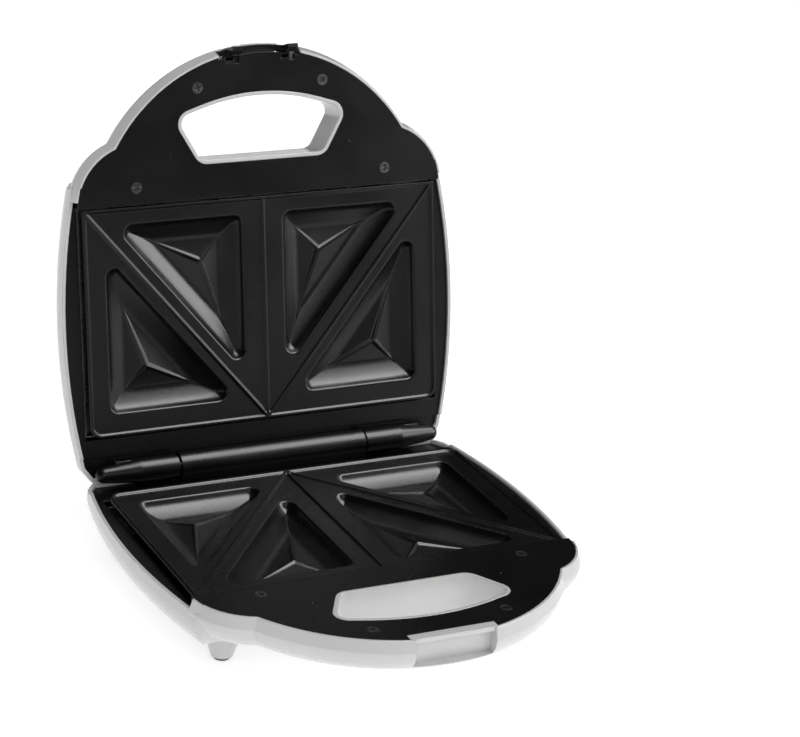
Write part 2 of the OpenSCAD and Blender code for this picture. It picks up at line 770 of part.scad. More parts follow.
module lid_frame() color("#24262b") in_lid() difference() {
    union() {
        frame_half();
        for (s = [0, 1]) mirror([s, 0, 0]) {
            along_hinge() translate([0, 0, knuckle_start]) {
                cylinder(r = knuckle_radius, h = knuckle_straight);
                translate([0, 0, knuckle_straight])
                    cylinder(r1 = knuckle_radius, r2 = tip_radius, h = knuckle_taper);
                translate([0, 0, knuckle_straight + knuckle_taper]) sphere(r = tip_radius);
            }
            translate([knuckle_start, hinge_y - 6.6, -rear_strip_drop - 1])
                cube([knuckle_foot, 6.6, rear_strip_drop + 1 + axis_z]);
            translate([knuckle_start, hinge_y - 6.6, -rear_strip_drop - 1])
                cube([knuckle_foot, 9.6, rear_strip_drop - 3]);
        }
    }
    along_hinge() translate([0, 0, -barrel_half - 20])
        cylinder(r = pin_radius + knuckle_gap, h = 2 * barrel_half + 40);
    for (s = [-1, 1]) translate([s * stem_middle - stem_slot / 2, -100, -10])
        cube([stem_slot, 100 - latch_pivot_y + hub_radius + 0.9, 20]);
    translate([0, 0, -frame_wall - 1]) linear_extrude(frame_wall + 2)
        bar_outline(frame_front, handle_radius, bar_half_width + 0.8);
}

module lid_plate() color("#3a3b3e") in_lid() plate_half();

module lid_heater() color("#8d8b86") in_lid() heater_half();

module lid_reflector() color("#c9cacc") in_lid() reflector_half();

module lid_handle_screws() color("#b9babd") in_lid() handle_screws_half();

module lid_plate_screws() color("#b9babd") in_lid() plate_screws_half();

module lid_wires() color("#a03028") in_lid() {
    wire([[-60, hinge_y - 14.5, wire_z], [-60, 60, wire_z], [lamps[0], lamp_y + 22, wire_z],
        [lamps[0], lamp_y + 6.6, wire_z + 2]]);
    wire([[60, hinge_y - 14.5, wire_z], [60, 60, wire_z], [lamps[1], lamp_y + 22, wire_z],
        [lamps[1], lamp_y + 6.6, wire_z + 2]]);
}

module lamp_holder() color("#e8e4d8") in_lid() difference() {
    translate([-18, lamp_y - 6, inner_floor]) cube([36, 12, 5]);
    for (x = lamps) translate([x, lamp_y, inner_floor - 1]) cylinder(r = lamp_radius + e, h = 5);
}

module lamp_lens(x) in_lid() translate([x, lamp_y, -body_depth - 0.8]) cylinder(r = lamp_radius, h = 6);

module power_lamp_lens() color("#c8281e") lamp_lens(lamps[0]);

module ready_lamp_lens() color("#2f9e44") lamp_lens(lamps[1]);

module bar_outline(inner, outer, half) {
    intersection() {
        translate([0, handle_centre]) difference() {
            circle(r = outer, $fn = big_fn);
            circle(r = inner, $fn = big_fn);
        }
        translate([-half, -150]) square([2 * half, 150]);
    }
}

module released() translate([0, -latch_pivot_y, -latch_pivot_depth]) rotate([latch_swing, 0, 0])
    translate([0, latch_pivot_y, latch_pivot_depth]) children();

module latch() color("#1d1e21") in_lid() difference() {
    union() {
        released() for (s = [-1, 1]) translate([s * stem_middle - stem_width / 2, 0, 0]) {
            rotate([90, 0, 90]) linear_extrude(stem_width) polygon([
                [-stem_front, hook_end], [-stem_back - 0.2, hook_end], [-hook_tip, hook_z + 1.5],
                [-hook_tip, hook_z], [-stem_back, hook_z], [-stem_back, -latch_pivot_depth],
                [-stem_front, -latch_pivot_depth]]);
            translate([0, -latch_pivot_y, -latch_pivot_depth]) rotate([0, 90, 0])
                cylinder(r = hub_radius, h = stem_width);
            translate([0, -stem_front, -latch_pivot_depth - 2]) cube([stem_width, 3.6, 4]);
        }
        translate([0, 0, -bar_bottom]) linear_extrude(bar_bottom - bar_top)
            bar_outline(bar_inner, bar_outer, bar_half_width);
    }
    translate([-26, -latch_pivot_y, -latch_pivot_depth]) rotate([0, 90, 0])
        cylinder(r = latch_pin_radius + latch_gap, h = 52);
}

module latch_pin() color("#c4c6c8") in_lid()
    translate([-23.4, -latch_pivot_y, -latch_pivot_depth]) rotate([0, 90, 0])
        cylinder(r = latch_pin_radius, h = 46.8);

base_shell();
base_frame();
base_plate();
base_heater();
base_reflector();
base_handle_screws();
base_plate_screws();
foot_pads();
cord_bush();
terminal_block();
thermostat();
thermal_fuse();
base_wires();
hinge_pin_left();
hinge_pin_right();
lid_shell();
lid_frame();
lid_plate();
lid_heater();
lid_reflector();
lid_handle_screws();
lid_plate_screws();
lid_wires();
lamp_holder();
power_lamp_lens();
ready_lamp_lens();
latch();
latch_pin();
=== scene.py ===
# %% [markdown]
# # Sandwich toaster, shown open
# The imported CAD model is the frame: its bodies, joints and sizes are never changed. This script gives every
# piece its finish, and rebuilds the two cast plates as finer surfaces. Places are metres in the CAD's own
# frame: +X to the right, +Y to the rear, +Z up, with the origin under the middle of the toaster.

# %% Load the frame
import json
import math
import bpy
import numpy as np
from mathutils import Matrix, Vector


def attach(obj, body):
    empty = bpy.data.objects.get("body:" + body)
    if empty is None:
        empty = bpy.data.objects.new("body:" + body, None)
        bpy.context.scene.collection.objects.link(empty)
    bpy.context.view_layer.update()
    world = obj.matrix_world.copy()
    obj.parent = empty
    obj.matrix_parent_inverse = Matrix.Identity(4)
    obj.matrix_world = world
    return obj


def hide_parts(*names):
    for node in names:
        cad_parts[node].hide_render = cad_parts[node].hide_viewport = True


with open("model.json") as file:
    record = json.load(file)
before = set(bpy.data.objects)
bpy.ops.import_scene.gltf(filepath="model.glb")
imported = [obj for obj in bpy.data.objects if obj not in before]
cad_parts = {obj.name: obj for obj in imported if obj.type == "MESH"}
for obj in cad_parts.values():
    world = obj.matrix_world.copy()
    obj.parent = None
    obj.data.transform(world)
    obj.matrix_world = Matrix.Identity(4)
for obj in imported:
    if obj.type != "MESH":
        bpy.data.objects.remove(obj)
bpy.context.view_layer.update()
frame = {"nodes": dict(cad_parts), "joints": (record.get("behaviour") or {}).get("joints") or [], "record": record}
nodes = frame["nodes"]

# %% [markdown]
# ## The two halves
# A toaster like this is one shape used twice. Both halves share one set of measures: x to the right, y to
# the rear from the plate's front edge, and z upward from the handle face, all in millimetres. The base
# stands on its feet, and the lid is the same half mirrored and swung open about the hinge. Two matrices
# carry points from a half's own measures to the frame. Modelling each half in place would also work, but
# then every change would have to be made twice and turned by hand.

# %% Half measures to frame
OPEN = math.radians(101.6)  # how far the lid stands open
GAP = 0.3  # between the two halves' handle faces when closed
HINGE_Y, AXIS_Z = 150.3, GAP / 2
FACE = 45.0  # height of the base's handle face above the table
pivot = Vector(next(j["pos_m"] for j in frame["joints"] if j["name"] == "lid_hinge")) * 1000
ORIGIN_Y = HINGE_Y - pivot.y

to_m = Matrix.Scale(0.001, 4)
base_m = to_m @ Matrix.Translation((0, -ORIGIN_Y, FACE))
lid_m = (to_m @ Matrix.Translation((0, HINGE_Y - ORIGIN_Y, FACE + AXIS_Z)) @ Matrix.Rotation(-OPEN, 4, "X")
         @ Matrix.Translation((0, -HINGE_Y, AXIS_Z)) @ Matrix.Scale(-1, 4, (0, 0, 1)))
HALVES = {"base": base_m, "lid": lid_m}
print("origin_y", round(ORIGIN_Y, 3))

# %% [markdown]
# ## How a finish is made
# Each finish is a Principled shader with the grain, wear or brushing of its real material, built from noise
# in object coordinates, so that nothing slides when a body turns. An image could carry the same grain, but
# noise needs no unwrapping and holds up close. Many finishes want the same effect, so each effect is one
# node group with named inputs. The groups put out only a normal, a roughness and a mask. The plain numbers
# stay on the shader itself.

# %% New node group


def new_group(name, inputs, outputs):
    """An empty shader group with float inputs, given as names and values, and the given outputs."""
    group = bpy.data.node_groups.new(name, "ShaderNodeTree")
    for label, value in inputs.items():
        socket = group.interface.new_socket(label, in_out="INPUT", socket_type="NodeSocketFloat")
        socket.default_value = value
    for label, kind in outputs.items():
        group.interface.new_socket(label, in_out="OUTPUT", socket_type=kind)
    return group, group.nodes.new("NodeGroupInput"), group.nodes.new("NodeGroupOutput")


SURFACE = {"Normal": "NodeSocketVector", "Roughness": "NodeSocketFloat", "Mask": "NodeSocketFloat"}
print("group outputs", *SURFACE)

# %% [markdown]
# ## Moulded grain
# A steel mould leaves a fine, even texture on plastic, and a coated casting has a sandier one. Sharp edges
# never come out of a mould, so a Bevel node softens how they shade, and they catch a thin line of light. A
# real bevel on every edge would do the same with far more faces. A slow second noise varies the gloss, as
# handling does.

# %% Grain group
GRAIN_DEPTH = 0.0001
FINE_DETAIL, SLOW_DETAIL = 3.0, 4.0
EDGE_SAMPLES = 4
# most of a noise lies between these two values; they are spread to half a step down and half a step up
SLOW_RANGE = {"From Min": 0.3, "From Max": 0.7, "To Min": -0.5, "To Max": 0.5}


def grain_group():
    """A fine bump, softened edges and a slow change of gloss."""
    inputs = {"Scale": 1500.0, "Height": 0.1, "Slow scale": 25.0,
              "Rough": 0.4, "Spread": 0.1, "Edge": 0.0003}
    group, inside, outside = new_group("moulded grain", inputs, SURFACE)
    N, L = group.nodes, group.links
    place = N.new("ShaderNodeTexCoord")
    fine = N.new("ShaderNodeTexNoise")
    fine.inputs["Detail"].default_value = FINE_DETAIL
    slow = N.new("ShaderNodeTexNoise")
    slow.inputs["Detail"].default_value = SLOW_DETAIL
    edge = N.new("ShaderNodeBevel")
    edge.samples = EDGE_SAMPLES
    bump = N.new("ShaderNodeBump")
    bump.inputs["Distance"].default_value = GRAIN_DEPTH
    centred = N.new("ShaderNodeMapRange")
    for label, value in SLOW_RANGE.items():
        centred.inputs[label].default_value = value
    rough = N.new("ShaderNodeMath")
    rough.operation = "MULTIPLY_ADD"
    for texture, scale in ((fine, "Scale"), (slow, "Slow scale")):
        L.new(place.outputs["Object"], texture.inputs["Vector"])
        L.new(inside.outputs[scale], texture.inputs["Scale"])
    L.new(inside.outputs["Edge"], edge.inputs["Radius"])
    L.new(edge.outputs["Normal"], bump.inputs["Normal"])
    L.new(fine.outputs["Fac"], bump.inputs["Height"])
    L.new(inside.outputs["Height"], bump.inputs["Strength"])
    L.new(slow.outputs["Fac"], centred.inputs["Value"])
    L.new(centred.outputs["Result"], rough.inputs[0])
    L.new(inside.outputs["Spread"], rough.inputs[1])
    L.new(inside.outputs["Rough"], rough.inputs[2])
    L.new(bump.outputs["Normal"], outside.inputs["Normal"])
    L.new(rough.outputs["Value"], outside.inputs["Roughness"])
    L.new(slow.outputs["Fac"], outside.inputs["Mask"])
    return group


GRAIN = grain_group()
print(GRAIN.name, "nodes", len(GRAIN.nodes))

# %% [markdown]
# ## Drawn metal
# Wire, tube and sheet are pulled through dies and rolls, which leaves long fine scratches in one direction.
# Noise that is stretched along X gives them. An anisotropic shader would only smear the gleam, and from
# close up no scratch would be seen. The same noise drives the bump, the gloss and the colour, so that a
# dull scratch is also a little paler.

# %% Brushed group
SCRATCH_DEPTH = 0.00005
SCRATCH_STRETCH, SCRATCH_DETAIL = 0.03, 5.0


def brushed_group():
    """Long scratches along X, in the bump, the gloss and the mask."""
    inputs = {"Scale": 900.0, "Height": 0.2, "Rough": 0.3, "Spread": 0.15}
    group, inside, outside = new_group("drawn metal", inputs, SURFACE)
    N, L = group.nodes, group.links
    place = N.new("ShaderNodeTexCoord")
    stretch = N.new("ShaderNodeMapping")
    stretch.inputs["Scale"].default_value = (SCRATCH_STRETCH, 1.0, 1.0)
    noise = N.new("ShaderNodeTexNoise")
    noise.inputs["Detail"].default_value = SCRATCH_DETAIL
    bump = N.new("ShaderNodeBump")
    bump.inputs["Distance"].default_value = SCRATCH_DEPTH
    rough = N.new("ShaderNodeMath")
    rough.operation = "MULTIPLY_ADD"
    L.new(place.outputs["Object"], stretch.inputs["Vector"])
    L.new(stretch.outputs["Vector"], noise.inputs["Vector"])
    L.new(inside.outputs["Scale"], noise.inputs["Scale"])
    L.new(noise.outputs["Fac"], bump.inputs["Height"])
    L.new(inside.outputs["Height"], bump.inputs["Strength"])
    L.new(noise.outputs["Fac"], rough.inputs[0])
    L.new(inside.outputs["Spread"], rough.inputs[1])
    L.new(inside.outputs["Rough"], rough.inputs[2])
    L.new(bump.outputs["Normal"], outside.inputs["Normal"])
    L.new(rough.outputs["Value"], outside.inputs["Roughness"])
    L.new(noise.outputs["Fac"], outside.inputs["Mask"])
    return group


BRUSHED = brushed_group()
print(BRUSHED.name, "nodes", len(BRUSHED.nodes))

# %% [markdown]
# ## From group to material
# A real surface is never one flat colour. The group's mask blends two close colours through a ramp, and its
# normal and roughness feed the shader. Two mixed shaders could do this too, but one shader exports whole.

# %% Finish helper
MATERIALS = {}
BLEND = 0.35, 0.65  # the mask's values at the dark and at the light colour


def finish(name, group, values, dark, light, **principled):
    """A material from a group's effect, two close colours and plain values of the Principled shader."""
    material = bpy.data.materials.new(name)
    material.use_nodes = True
    N, L = material.node_tree.nodes, material.node_tree.links
    shader = N["Principled BSDF"]
    effect = N.new("ShaderNodeGroup")
    effect.node_tree = group
    for label, value in values.items():
        effect.inputs[label].default_value = value
    ramp = N.new("ShaderNodeValToRGB")
    for stop, position, colour in zip(ramp.color_ramp.elements, BLEND, (dark, light)):
        stop.position = position
        stop.color = (*colour, 1)
    L.new(effect.outputs["Mask"], ramp.inputs["Fac"])
    L.new(ramp.outputs["Color"], shader.inputs["Base Color"])
    L.new(effect.outputs["Normal"], shader.inputs["Normal"])
    L.new(effect.outputs["Roughness"], shader.inputs["Roughness"])
    for label, value in principled.items():
        shader.inputs[label.replace("_", " ")].default_value = value
    return material


print("colours blend over a mask of", BLEND)

# %% [markdown]
# ## White shells and black frames
# The two shells are glossy white plastic with a thin clear skin from the polished mould, so they get a
# little coat. The frames are black plastic with a satin grain. Black must be very dark here: what the eye
# reads as black plastic is mostly the room's reflection, and a lower specular level keeps that reflection
# quiet.

# %% Shell and frame plastics
MATERIALS["white_shell"] = finish(
    "white shell plastic", GRAIN,
    {"Scale": 260.0, "Height": 0.05, "Slow scale": 14.0, "Rough": 0.24, "Spread": 0.06, "Edge": 0.0009},
    (0.56, 0.56, 0.557), (0.6, 0.6, 0.597), IOR=1.5, Coat_Weight=0.25, Coat_Roughness=0.1)
MATERIALS["black_frame"] = finish(
    "black frame plastic", GRAIN,
    {"Scale": 2600.0, "Height": 0.28, "Slow scale": 22.0, "Rough": 0.28, "Spread": 0.06, "Edge": 0.0004},
    (0.0015, 0.0016, 0.0019), (0.0026, 0.0027, 0.003), IOR=1.48, Specular_IOR_Level=0.25)
print("finishes", *MATERIALS)

# %% [markdown]
# ## Non-stick coating
# The plates are cast aluminium under a black non-stick coat. It is about as dark as the frames, but sandier
# and a little shinier, so that the pockets' coves gleam. A grain cut into the mesh would need millions of
# faces, so it is left to the bump. The edges are round in the mesh itself, and none is softened in the
# shader.

# %% Plate coating
MATERIALS["coated_plate"] = finish(
    "non-stick coating", GRAIN,
    {"Scale": 3200.0, "Height": 0.35, "Slow scale": 30.0, "Rough": 0.28, "Spread": 0.06, "Edge": 0.0},
    (0.0015, 0.0016, 0.0019), (0.0026, 0.0027, 0.003), IOR=1.5, Specular_IOR_Level=0.28)
print("finishes", len(MATERIALS))

# %% [markdown]
# ## Metals
# The heaters have been hot, so they are dull and brownish. The trays behind the plates are dulled by heat
# as well, and their grey is darkened further as painted shade of the gap behind the plates where they show.
# The screws are plated black. The hinge pins are ground bright, and the thermostat's cup is yellow passivated
# steel. All of them use the same scratches in other sizes, because one group is easier to keep right than
# five, and Metallic stays at one, as a metal's colour is the colour of its reflections.

# %% Metal finishes
MATERIALS["heater_steel"] = finish(
    "heat-dulled steel", BRUSHED, {"Scale": 600.0, "Height": 0.3, "Rough": 0.35, "Spread": 0.2},
    (0.22, 0.2, 0.18), (0.45, 0.43, 0.4), Metallic=1.0)
# the trays' dark grey is partly heat dulling and partly painted shade of the gap behind the plates
MATERIALS["reflector_sheet"] = finish(
    "heat-dulled aluminium and painted shade", BRUSHED, {"Scale": 700.0, "Height": 0.15, "Rough": 0.45, "Spread": 0.15},
    (0.12, 0.12, 0.115), (0.2, 0.2, 0.195), Metallic=1.0)
MATERIALS["screw_steel"] = finish(
    "black plated screw steel", BRUSHED, {"Scale": 1500.0, "Height": 0.2, "Rough": 0.22, "Spread": 0.2},
    (0.05, 0.05, 0.052), (0.11, 0.11, 0.114), Metallic=1.0)
MATERIALS["pin_steel"] = finish(
    "ground pin steel", BRUSHED, {"Scale": 1800.0, "Height": 0.15, "Rough": 0.16, "Spread": 0.15},
    (0.55, 0.56, 0.57), (0.7, 0.71, 0.72), Metallic=1.0)
MATERIALS["thermostat_metal"] = finish(
    "thermostat cup", BRUSHED, {"Scale": 900.0, "Height": 0.2, "Rough": 0.3, "Spread": 0.2},
    (0.42, 0.36, 0.24), (0.6, 0.52, 0.36), Metallic=1.0)
print("finishes", len(MATERIALS))

# %% [markdown]
# ## Small black pieces
# The foot pads are matt rubber, the cord bush is a softer and greyer plastic, and the latch is the same
# hard plastic as the frames, a shade less black. One black for all would be simpler, but real blacks never
# match side by side, and it is mostly their dullness that tells rubber from plastic.

# %% Rubber, bush and latch
MATERIALS["rubber_pads"] = finish(
    "foot rubber", GRAIN,
    {"Scale": 1800.0, "Height": 0.5, "Slow scale": 40.0, "Rough": 0.75, "Spread": 0.15},
    (0.02, 0.02, 0.02), (0.035, 0.035, 0.035))
MATERIALS["bush_plastic"] = finish(
    "cord bush plastic", GRAIN,
    {"Scale": 2000.0, "Height": 0.3, "Slow scale": 40.0, "Rough": 0.42, "Spread": 0.1},
    (0.012, 0.012, 0.013), (0.02, 0.02, 0.022))
MATERIALS["latch_plastic"] = finish(
    "latch plastic", GRAIN,
    {"Scale": 2200.0, "Height": 0.25, "Slow scale": 40.0, "Rough": 0.3, "Spread": 0.1},
    (0.002, 0.002, 0.0022), (0.0035, 0.0035, 0.0038), Specular_IOR_Level=0.25)
print("finishes", len(MATERIALS))

# %% [markdown]
# ## Fittings inside and the two lamps
# Terminal blocks are cream heat-proof plastic, fuses wear a pale sleeve, and the leads a red braided one,
# which is rough at a fine scale. The lamp lenses are clear coloured plastic over a dark hollow. A full
# glass would look the same from outside and cost much more light to render, so a coated solid colour stands
# in for it.

# %% Fittings and lenses
MATERIALS["terminal_plastic"] = finish(
    "terminal plastic", GRAIN,
    {"Scale": 1200.0, "Height": 0.2, "Slow scale": 60.0, "Rough": 0.5, "Spread": 0.1},
    (0.62, 0.58, 0.48), (0.72, 0.68, 0.58))
MATERIALS["fuse_body"] = finish(
    "fuse sleeve", GRAIN,
    {"Scale": 900.0, "Height": 0.2, "Slow scale": 80.0, "Rough": 0.4, "Spread": 0.1},
    (0.7, 0.67, 0.6), (0.8, 0.77, 0.7))
MATERIALS["wire_sleeve"] = finish(
    "braided wire sleeve", GRAIN,
    {"Scale": 1400.0, "Height": 0.9, "Slow scale": 300.0, "Rough": 0.8, "Spread": 0.1},
    (0.32, 0.03, 0.02), (0.5, 0.06, 0.04))
LENS = {"Scale": 300.0, "Height": 0.05, "Slow scale": 60.0, "Rough": 0.1, "Spread": 0.04}
MATERIALS["red_lens"] = finish("red lamp lens", GRAIN, LENS, (0.5, 0.02, 0.015), (0.62, 0.04, 0.03),
                               Coat_Weight=0.5)
MATERIALS["green_lens"] = finish("green lamp lens", GRAIN, LENS, (0.02, 0.3, 0.08), (0.04, 0.4, 0.12),
                                 Coat_Weight=0.5)
print("finishes", len(MATERIALS))

# %% [markdown]
# ## Dress the CAD pieces
# The record names a finish for every node. Each CAD mesh keeps its shape and gets that one material. Faces
# could have finishes of their own, but every node here is one real piece made of one material.

# %% Give each node its finish
finish_of = {piece["node"]: piece["material_slot"] for piece in frame["record"]["subparts"]}
for name, obj in nodes.items():
    obj.data.materials.clear()
    obj.data.materials.append(MATERIALS[finish_of[name]])
print("dressed", len(finish_of), "nodes with", len(set(finish_of.values())), "finishes")

# %% [markdown]
# ## A mesh from half measures
# A shape that follows a rule is written straight as points and faces. The points go through the half's
# matrix first, so the object itself stays at the origin, unturned, and the grain on it rides along with the
# body. The lid's matrix mirrors, which turns a shape inside out, so its faces are listed the other way
# round.

# %% Mesh helper


def make_mesh(name, points, faces, matrix, flip):
    """A smooth mesh object at the origin, from points in half measures."""
    to_frame = np.array(matrix)
    placed = np.asarray(points, float) @ to_frame[:3, :3].T + to_frame[:3, 3]
    mesh = bpy.data.meshes.new(name)
    mesh.from_pydata(placed.tolist(), [], [tuple(reversed(f)) if flip else tuple(f) for f in faces])
    mesh.polygons.foreach_set("use_smooth", [True] * len(mesh.polygons))
    mesh.update()
    obj = bpy.data.objects.new(name, mesh)
    bpy.context.collection.objects.link(obj)
    return obj


print("halves", {name: "mirrored" if m.determinant() < 0 else "upright" for name, m in HALVES.items()})

# %% [markdown]
# ## The cast plates
# Each plate is one aluminium casting. Its land is flat, a raised rim runs round it, and three ribs that
# meet at the rear middle cut the sandwich into triangles. Four three-cornered pockets hold the bread.
# Everything on it rises or falls from one flat face, so the whole plate can be one height for each point.
# That gives soft cast edges, which cut solids would not. The measures come first.

# %% Plate measures
PLATE_W, PLATE_D = 218.0, 129.5
HALF_W = PLATE_W / 2
RIM_Z, LAND_Z = -1.4, -2.6
CORNER, PLATE_WALL = 7.0, 2.2
# widths of the flat land: beside the middle rib, and along the front, side and rear edges
MIDDLE, FRONT, SIDE, REAR = 12.8, 10.2, 13.0, 13.0
# from the slanting rib to the inner and to the outer pocket
INNER_LAND, OUTER_LAND = -8.0, 6.5
RIB_LENGTH = math.hypot(HALF_W, PLATE_D)
print("plate", PLATE_W, "by", PLATE_D, "slanting rib", round(RIB_LENGTH, 1))

# %% [markdown]
# ## Where the pockets lie
# A slanting rib runs from the plate's rear middle to each front corner, and on either side of it lies one
# pocket with a wall beside the rib. The outer pocket's other walls follow the side and the rear edge, and
# the inner pocket's follow the middle rib and the front edge. The left pair mirrors the right pair. Corners
# are listed anticlockwise, so that the inside of a pocket is always on the left of its walls.

# %% Pocket corners


def beside(away, x=None, y=None):
    """The point at a given x or y on a line beside the slanting rib."""
    if y is None:
        return x, PLATE_D + (away * RIB_LENGTH - PLATE_D * x) * 2 / PLATE_W
    return (PLATE_D - y) * PLATE_W / 2 / PLATE_D + away * RIB_LENGTH / PLATE_D, y


def anticlockwise(tri):
    """The triangle with its corners in anticlockwise order."""
    return tri[::-1] if np.linalg.det(np.array([tri[1] - tri[0], tri[2] - tri[0]])) < 0 else tri


outer_x, outer_y = HALF_W - SIDE, PLATE_D - REAR
right_pair = [np.array([beside(OUTER_LAND, x=outer_x), (outer_x, outer_y), beside(OUTER_LAND, y=outer_y)]),
              np.array([beside(INNER_LAND, y=FRONT), beside(INNER_LAND, x=MIDDLE), (MIDDLE, FRONT)])]
POCKETS = [anticlockwise(tri) for tri in right_pair + [p * (-1, 1) for p in right_pair]]
for tri in POCKETS:
    print("pocket", [tuple(round(float(c), 1) for c in corner) for corner in tri])

# %% [markdown]
# ## Distances
# A height field asks one question at every point: how far is it from the nearest line? The helpers answer
# it for a straight line, for a triangle's three walls and for a corner. They work on whole arrays of points
# at once, since a loop over a hundred thousand points would be slow.

# %% Distance helpers


def unit(v):
    """A direction of length one."""
    return v / np.hypot(*v)


def line_dist(x, y, a, b):
    """Distance from each point to the line from a to b, and how far along it the nearest point lies."""
    d = b - a
    t = np.clip(((x - a[0]) * d[0] + (y - a[1]) * d[1]) / (d @ d), 0, 1)
    return np.hypot(x - a[0] - t * d[0], y - a[1] - t * d[1]), t


def wall_dists(x, y, tri):
    """Distance from each of a triangle's three walls, positive inside."""
    out = []
    for i in range(3):
        a, d = tri[i], unit(tri[(i + 1) % 3] - tri[i])
        out.append((y - a[1]) * d[0] - (x - a[0]) * d[1])
    return np.array(out)


def in_corner(tri, i, inset):
    """The point in a corner that is the same distance inside both walls, and the two walls' directions."""
    a, b = unit(tri[(i + 1) % 3] - tri[i]), unit(tri[(i + 2) % 3] - tri[i])
    middle = unit(a + b)
    return tri[i] + middle * inset / math.sqrt(1 - float(a @ middle) ** 2), a, b


def incentre(tri):
    """The point that is equally far from all three walls."""
    opposite = [np.hypot(*(tri[(i + 1) % 3] - tri[(i + 2) % 3])) for i in range(3)]
    return sum(opposite[i] * tri[i] for i in range(3)) / sum(opposite)


for tri in POCKETS:
    print("from a pocket's middle to its walls", wall_dists(*incentre(tri), tri).round(2))

# %% [markdown]
# ## Rounded outlines
# A pocket's corners are round, because a milling cutter makes the mould, and so are the plate's two rear
# corners. Near a corner the distance is taken from an arc instead of from the two walls.

# %% Distance inside a rounded outline
POCKET_R = 5.0


def pocket_dist(x, y, tri):
    """Distance inside a pocket's rounded outline, negative outside."""
    dist = wall_dists(x, y, tri).min(0)
    for i in range(3):
        c, a, b = in_corner(tri, i, POCKET_R)
        # only the wedge between the two walls' feet belongs to the arc
        wedge = ((x - c[0]) * a[0] + (y - c[1]) * a[1] < 0) & ((x - c[0]) * b[0] + (y - c[1]) * b[1] < 0)
        dist = np.where(wedge, np.minimum(dist, POCKET_R - np.hypot(x - c[0], y - c[1])), dist)
    return dist


def plate_dist(x, y):
    """Distance inside the plate's outline with its two rounded rear corners."""
    edge = np.minimum(np.minimum(HALF_W - np.abs(x), y), PLATE_D - y)
    cx, cy = np.abs(x) - (HALF_W - CORNER), y - (PLATE_D - CORNER)
    return np.where((cx > 0) & (cy > 0), CORNER - np.hypot(cx, cy), edge)


print("middle of the plate is", float(plate_dist(np.array(0.0), np.array(PLATE_D / 2))), "from its edge")

# %% [markdown]
# ## Rim and ribs
# The rim and the ribs seal the bread's edges. They are narrow strips with flat tops, and their height falls
# off over a narrow shoulder with a smooth S-curve, as a casting's edge does. Bars set on the land would
# leave creases where they cross. Taking the highest strip at each point joins them in one surface.

# %% Rim and ribs
RIB = 2.0
RIM_SHIFT, RIM_EXTRA, RIB_LESS, SHOULDER, RIB_END = 0.35, 0.1, 0.15, 0.6, 1.0
REAR_MIDDLE = (0, PLATE_D - RIB_END)
RIB_FEET = (0, RIB_END), (-HALF_W, 0), (HALF_W, 0)


def strip(dist, half):
    """A raised strip with rounded shoulders, from the distance to its middle line."""
    t = np.clip((half + SHOULDER / 2 - dist) / SHOULDER, 0, 1)
    return (RIM_Z - LAND_Z) * t * t * (3 - 2 * t)


def strips(x, y):
    """The rim and the three ribs, as a rise above the land."""
    up = strip(np.abs(plate_dist(x, y) - RIB / 2 + RIM_SHIFT), RIB / 2 + RIM_EXTRA)
    for foot in RIB_FEET:
        dist, _ = line_dist(x, y, np.array(foot, float), np.array(REAR_MIDDLE, float))
        up = np.maximum(up, strip(dist, RIB / 2 - RIB_LESS))
    return up


print("rim stands", round(RIM_Z - LAND_Z, 2), "above the land")

# %% [markdown]
# ## Pocket walls and floor
# A pocket starts with a short steep lip and then runs down in a long shallow cove, so the bread slides in
# and the toast slides out. Its floor rises again to a low three-sided pyramid, which presses the middle of
# the sandwich. The pyramid is three planes that each rise from one wall. Its hips are crisp in the middle
# and melt away toward the corners.

# %% Pocket wall and floor
POCKET_DEPTH = 8.8
LIP_DROP, LIP_REACH, COVE_REACH, COVE = 2.8, 1.0, 13.0, 1.25
FLOOR_RISE, FLOOR_INSET, FLOOR_BLEND = 2.5, 11.0, 1.6
HIP_CRISP, HIP_MELT = 0.2, 5.0


def smooth_min(a, b, band):
    """The smaller of two values, with the corner between them rounded over a band."""
    h = np.maximum(band - np.abs(a - b), 0) / band
    return np.minimum(a, b) - h * h * band / 4


def pocket_wall(dist):
    """The steep lip and the long cove, from the distance inside the pocket."""
    deep = np.maximum(dist, 0)
    lip = -LIP_DROP * (1 - np.exp(-deep / LIP_REACH))
    return lip - (POCKET_DEPTH - LIP_DROP) * (1 - (1 - np.minimum(deep / COVE_REACH, 1)) ** COVE)


def pocket_floor(x, y, tri):
    """The low pyramid on the pocket's floor."""
    walls = np.sort(wall_dists(x, y, tri), axis=0)
    run = wall_dists(*incentre(tri), tri).min() - FLOOR_INSET
    melt = HIP_CRISP + HIP_MELT * np.clip(1 - (walls[0] - FLOOR_INSET) / run, 0, 1)
    near = smooth_min(smooth_min(walls[0], walls[1], melt), walls[2], melt)
    return FLOOR_RISE * (near - FLOOR_INSET) / run - POCKET_DEPTH


print("wall at 1, 5 and 13 mm in", [round(float(v), 2) for v in pocket_wall(np.array([1.0, 5.0, 13.0]))])

# %% [markdown]
# ## Pocket seams
# Along each hip runs a fine raised seam, which scores the toast. It is widest and highest at the middle and
# fades out toward the corner, so its size follows the square root of what is left of its length. A thin
# tube laid on the floor would stand on it like a wire. A seam that is added to the floor's height grows out
# of it.

# %% Pocket seams
SEAM_RISE, SEAM_HALF, SEAM_INSET, SEAM_EDGE = 1.0, 1.5, 9.0, 0.15


def pocket_seams(x, y, tri):
    """Three fading seams from the middle of a pocket toward its corners."""
    up = np.zeros_like(x)
    for i in range(3):
        end, _, _ = in_corner(tri, i, SEAM_INSET)
        dist, t = line_dist(x, y, incentre(tri), end)
        fade = np.sqrt(1 - t)
        up = np.maximum(up, SEAM_RISE * fade * np.clip(1 - dist / (SEAM_HALF * fade + SEAM_EDGE), 0, 1))
    return up


print("seam is", round(2 * (SEAM_HALF + SEAM_EDGE), 2), "wide at the middle")

